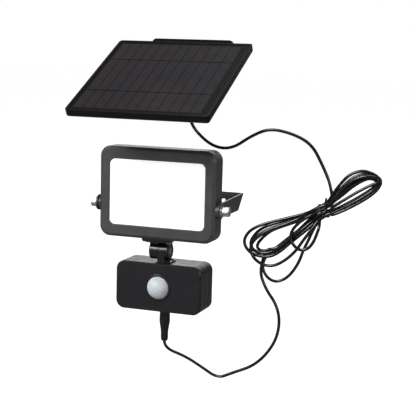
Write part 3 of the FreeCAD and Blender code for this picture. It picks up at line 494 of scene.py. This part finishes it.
def make_tie():
    """A twist tie: a thin wire round the bundle and a short twisted tail."""
    slant = Vector((math.cos(TIE_SLANT), math.sin(TIE_SLANT)))
    ring = []
    for i in range(28):
        turn = 2 * math.pi * i / 28
        reach = slant * (TIE_REACH * math.cos(turn)) + BUNDLE_ALONG * (TIE_SWAY * math.sin(turn))
        ring.append(row(TIE_AT.x + reach.x, HANK_Y + TIE_DEPTH * math.sin(turn), TIE_AT.y + reach.y))
    path = spline_points(ring + ring[:2])
    loop = tube_piece("tie_loop", path, TIE_WIRE_R * MM, BLACK_PLASTIC, 10)
    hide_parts("cord_tie")
    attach(loop, "wall_brackets")
    for part in range(2):
        strand = []
        for i in range(25):
            turn = math.pi * (i / 4.0 + part)
            twist = Vector((math.cos(turn), math.sin(turn), 0.0)) * TAIL_TWIST_R
            strand.append(row(*(TAIL_FOOT + TAIL_STEP * i + twist)))
        tail = tube_piece(f"tie_tail_{part + 1}", spline_points(strand), TAIL_WIRE_R * MM, BLACK_PLASTIC,
                          10)
        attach(tail, "wall_brackets")


make_tie()


# ------------------------------------------------------------------ panel face
PANEL_X, PANEL_Y, PANEL_Z = 4.0, -11.0, 146.7
PANEL_TILT = math.radians(27.3)
PANEL_W, PANEL_D, RIM = 163.5, 162.0, 3.0
CELLS_LEFT, CELLS_RIGHT, CELLS_HALF_D = -75.5, 71.0, 74.0
CELL_STRIPS = 12
STRIP_GAP_HALF = 0.5
BUSBAR_V, BUSBAR_HALF, BUSBAR_PAST_CELLS = 35.5, 0.8, 1.5
SHEET_LOW, FACE_W = -1.8, -0.55   # back and face of the sheet, below the rim's edge
CELL_RISE, BUSBAR_RISE = 0.03, 0.05


def on_panel(u, v, w):
    """A point of the panel's own frame (across, up the slope, out of the face)."""
    y = PANEL_Y + v * math.cos(PANEL_TILT) - w * math.sin(PANEL_TILT)
    z = PANEL_Z + v * math.sin(PANEL_TILT) + w * math.cos(PANEL_TILT)
    return row(PANEL_X + u, y, z)


def flat_blocks(name, blocks, material):
    """Thin blocks on the panel's face, each with a small chamfer round its top."""
    vertices, faces = [], []
    for u0, u1, v0, v1, low, high in blocks:
        chamfer = min(0.12, (high - low) * 0.4)
        rings = [(0.0, low), (0.0, high - chamfer), (chamfer, high)]
        start = len(vertices)
        for inset, w in rings:
            for u, v in ((u0 + inset, v0 + inset), (u1 - inset, v0 + inset),
                         (u1 - inset, v1 - inset), (u0 + inset, v1 - inset)):
                vertices.append(on_panel(u, v, w))
        for ring in range(2):
            for k in range(4):
                a, b = start + ring * 4 + k, start + ring * 4 + (k + 1) % 4
                faces.append((a, b, b + 4, a + 4))
        faces.append((start + 8, start + 9, start + 10, start + 11))
        faces.append((start + 3, start + 2, start + 1, start))
    return make_piece(name, vertices, faces, material, smooth=False)


def make_panel_face():
    """The panel's sheet, its twelve strips of cells and the two dark busbar lines."""
    half_w, half_d = PANEL_W / 2 - RIM - 0.05, PANEL_D / 2 - RIM - 0.05
    sheet_block = (-half_w, half_w, -half_d, half_d, SHEET_LOW, FACE_W)
    sheet = flat_blocks("panel_sheet", [sheet_block], MARGIN)
    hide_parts("panel_cover")
    pitch = (CELLS_RIGHT - CELLS_LEFT) / CELL_STRIPS
    bands = [(-CELLS_HALF_D, -BUSBAR_V), (-BUSBAR_V, BUSBAR_V), (BUSBAR_V, CELLS_HALF_D)]
    tiles = []
    for strip in range(CELL_STRIPS):
        left = CELLS_LEFT + pitch * strip
        for low, high in bands:
            tiles.append((left + STRIP_GAP_HALF, left + pitch - STRIP_GAP_HALF, low + STRIP_GAP_HALF,
                          high - STRIP_GAP_HALF, FACE_W, FACE_W + CELL_RISE))
    cells = flat_blocks("cell_strips", tiles, CELLS)
    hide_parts("solar_cells")
    ends = CELLS_LEFT - BUSBAR_PAST_CELLS, CELLS_RIGHT + BUSBAR_PAST_CELLS
    ribbons = [(*ends, v - BUSBAR_HALF, v + BUSBAR_HALF, FACE_W, FACE_W + BUSBAR_RISE)
               for v in (-BUSBAR_V, BUSBAR_V)]
    bars = flat_blocks("busbar_lines", ribbons, TINNED)
    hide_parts("busbars")
    for piece in (sheet, cells, bars):
        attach(piece, "solar_panel")


make_panel_face()


# ------------------------------------------------------------------ floor and light
def seen_or_lit(tree, seen, lit):
    """A strength that is one number where the camera sees it and another as light on the object."""
    path = tree.nodes.new("ShaderNodeLightPath")
    span = tree.nodes.new("ShaderNodeMapRange")
    span.inputs["To Min"].default_value = lit
    span.inputs["To Max"].default_value = seen
    tree.links.new(path.outputs["Is Camera Ray"], span.inputs["Value"])
    return span.outputs["Result"]


def make_stage():
    low = cad_box[0].z - 0.12
    mesh = bpy.data.meshes.new("floor")
    mesh.from_pydata([(-9, -4, low), (9, -4, low), (9, 14, low), (-9, 14, low)], [], [(0, 1, 2, 3)])
    finish = plain_finish("floor_white", (0.22, 0.22, 0.22), 0.9, vary=0.01, blotch=3.0)
    shader = finish.node_tree.nodes["Principled BSDF"]
    shader.inputs["Emission Color"].default_value = (1, 1, 1, 1)
    strength = seen_or_lit(finish.node_tree, 0.95, 0.03)
    finish.node_tree.links.new(strength, shader.inputs["Emission Strength"])
    mesh.materials.append(finish)
    floor = bpy.data.objects.new("floor", mesh)
    bpy.context.scene.collection.objects.link(floor)

    world = bpy.data.worlds.new("studio")
    bpy.context.scene.world = world
    world.use_nodes = True
    sky = world.node_tree.nodes["Background"]
    sky.inputs["Color"].default_value = (1, 1, 1, 1)
    world.node_tree.links.new(seen_or_lit(world.node_tree, 1.0, 0.16), sky.inputs["Strength"])

    for name, place, size, power in (
        ("key", (-1.2, -2.0, 1.6), 1.2, 74.0), ("fill", (1.9, -1.5, 0.5), 0.8, 10.0),
        ("top", (0.1, 0.3, 1.9), 1.2, 14.0), ("rear", (-0.5, 2.6, 0.7), 2.0, 20.0),
    ):
        light = bpy.data.lights.new(name, "AREA")
        light.shape = "DISK"
        light.size = size
        light.energy = power
        lamp = bpy.data.objects.new(name, light)
        lamp.location = place
        aim = Vector((0.05, -0.05, 0.0)) - Vector(place)
        lamp.rotation_mode = "QUATERNION"
        lamp.rotation_quaternion = aim.to_track_quat("-Z", "Y")
        bpy.context.scene.collection.objects.link(lamp)
    bpy.context.scene.view_settings.view_transform = "Standard"


make_stage()
